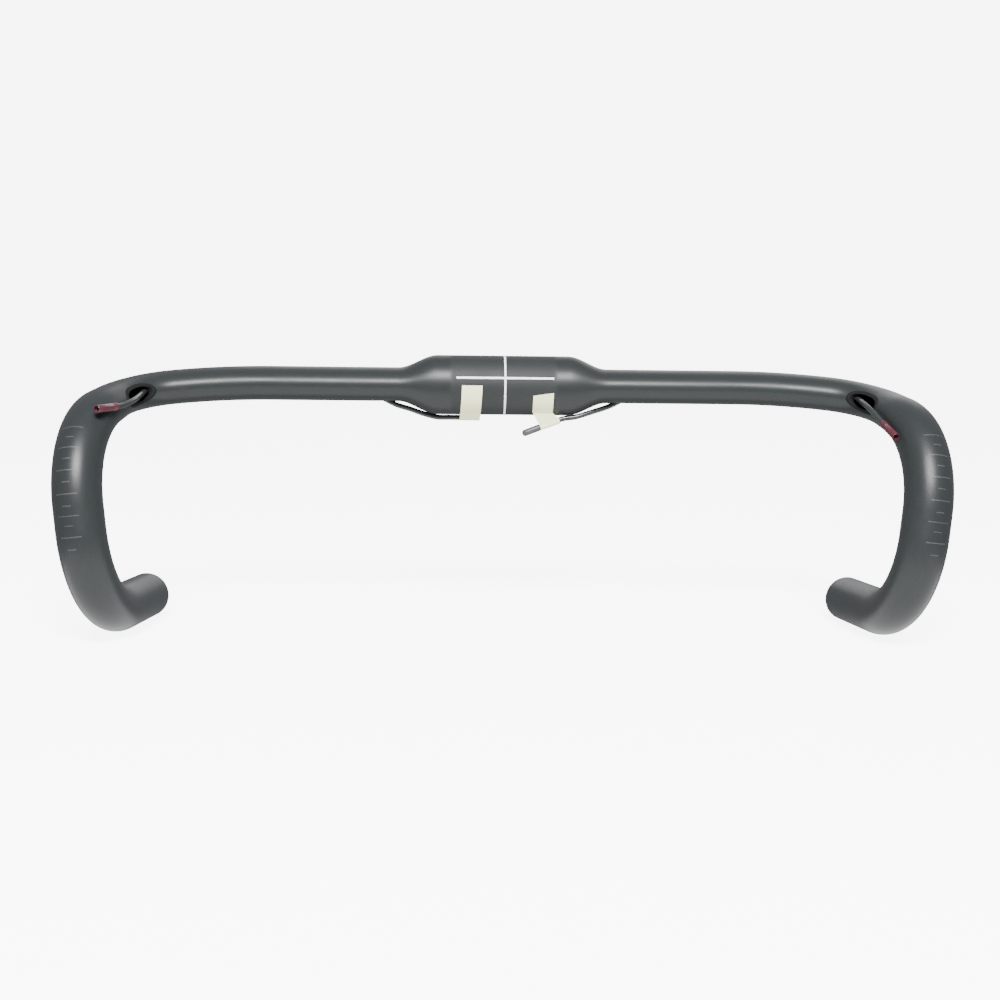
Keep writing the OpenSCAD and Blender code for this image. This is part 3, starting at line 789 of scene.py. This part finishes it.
# %% Tape and inks
tape_paper = finish("tape_paper", (0.93, 0.95, 0.62), 0.8, Subsurface_Weight=0.1)
paper_shader = tape_paper.node_tree.nodes["Principled BSDF"]
paper_shader.inputs["Subsurface Radius"].default_value = (0.002, 0.002, 0.0015)
tint(tape_paper, noise(tape_paper, 260.0, 4.0), (0.90, 0.92, 0.46), (0.98, 0.99, 0.68))
bump(tape_paper, noise(tape_paper, 900.0, 3.0, (0.5, 2.2, 2.2)), 0.4, 0.0002)
white_ink = finish("white_ink", (0.93, 0.93, 0.93), 0.5)
tint(white_ink, noise(white_ink, 900.0), (0.88, 0.89, 0.90), (0.97, 0.97, 0.97))
grey_ink = finish("grey_ink", (0.036, 0.039, 0.040), 0.5)
tint(grey_ink, noise(grey_ink, 600.0), (0.022, 0.024, 0.025), (0.050, 0.054, 0.055))

# %% [markdown]
# ## Dress the model
# Each piece gets its finish, the body it moves with, and the CAD node it
# stands for. The glued sleeves inside keep their CAD shape, which is already right.

# %% Dress
finish_piece(middle, satin_clamp, "satin_carbon", "root", "centre_section")
finish_piece(left_bar, satin_carbon, "satin_carbon", "root", "left_drop")
finish_piece(right_bar, satin_carbon, "satin_carbon", "root", "right_drop")
finish_piece(left_lip, lip_rubber_with_painted_shade, "grommet_rubber", "root", "left_port_grommet")
finish_piece(right_lip, lip_rubber_with_painted_shade, "grommet_rubber", "root", "right_port_grommet")
finish_piece(left_liner, liner_nylon, "liner_nylon", "root", "left_liner")
finish_piece(right_liner, liner_nylon, "liner_nylon", "root", "right_liner")
finish_piece(left_red, red_plastic, "red_plastic", "left_red", "left_red_sleeve")
finish_piece(right_red, red_plastic, "red_plastic", "right_red", "right_red_sleeve")
finish_piece(right_tip, grey_plastic, "grey_plastic", "right_tip", "right_tip_sleeve")
finish_piece(left_strip, tape_paper, "masking_tape", "root", "left_tape")
finish_piece(right_strip, tape_paper, "masking_tape", "root", "right_tape")
finish_piece(centre_ring, white_ink, "white_print", "root", "centre_mark")
finish_piece(angle_line, white_ink, "white_print", "root", "angle_mark")
finish_piece(left_scale, grey_ink, "grey_print", "root", "left_lever_scale")
finish_piece(right_scale, grey_ink, "grey_print", "root", "right_lever_scale")
for name in ("left_splice", "right_splice"):
    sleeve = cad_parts[name]
    sleeve.data.materials.clear()
    sleeve.data.materials.append(raw_carbon)

# %% [markdown]
# ## Studio
# A round pale floor that curves up into a wall all the way round has no horizon line from any
# side. It is hidden from the bar's own bounces and reflections, so its brightness can be chosen
# for the picture alone. A broad light above the viewer gives the satin skin one soft band, a
# light just below the floor stands for the floor's bounce, and a weak one fills in the back.

# %% Floor and backdrop
floor_z = cad_box[0][2]
slide = np.linspace(0, np.pi / 2, 25)
profile = np.concatenate([
    [(0.02, 0.0)],
    np.stack([1.9 + 1.2 * np.sin(slide), 1.2 - 1.2 * np.cos(slide)], -1),
    [(3.1, 4.5)]])
spin = np.linspace(0, 2 * np.pi, 97)[:-1]
dish = np.stack([profile[:, :1] * np.cos(spin), profile[:, :1] * np.sin(spin),
                 profile[:, 1:] + floor_z - 0.0002 + 0 * spin], -1)
backdrop = make_piece("studio_floor", dish, [
    grid_quads(len(profile), len(spin), False, True)[:, ::-1], np.arange(len(spin))[None, :]])
floor_paint = finish("studio_paper", (0.93, 0.93, 0.93), 0.9, Emission_Color=(1, 1, 1, 1),
                     Emission_Strength=6.5)
tint(floor_paint, noise(floor_paint, 3.0), (0.92, 0.92, 0.92), (0.94, 0.94, 0.94))
backdrop.data.materials.append(floor_paint)
backdrop.visible_diffuse = backdrop.visible_glossy = backdrop.visible_shadow = False

# %% Lights
world = bpy.data.worlds.new("studio_world")
bpy.context.scene.world = world
world.use_nodes = True
world.node_tree.nodes["Background"].inputs["Color"].default_value = (0.95, 0.97, 1.0, 1)
world.node_tree.nodes["Background"].inputs["Strength"].default_value = 0.46


def soft_light(name, place, aim, wide, high, power):
    """A rectangular light at place that faces aim."""
    data = bpy.data.lights.new(name, "AREA")
    data.shape, data.size, data.size_y, data.energy = "RECTANGLE", wide, high, power
    lamp = bpy.data.objects.new(name, data)
    bpy.context.scene.collection.objects.link(lamp)
    lamp.location = place
    ahead = unit(np.array(aim, float) - np.array(place, float))
    lamp.rotation_euler = (math.acos(-ahead[2]), 0, math.atan2(-ahead[0], ahead[1]))
    return lamp


soft_light("front_light", (0.0, -1.2, 1.0), (0, -0.03, -0.03), 0.7, 0.45, 80)
soft_light("floor_bounce", (0, -0.14, floor_z - 0.04), (0, -0.139, 0), 0.8, 0.34, 2.1)
soft_light("back_fill", (0.3, 1.4, 0.7), (0, 0, -0.05), 1.4, 0.9, 7)
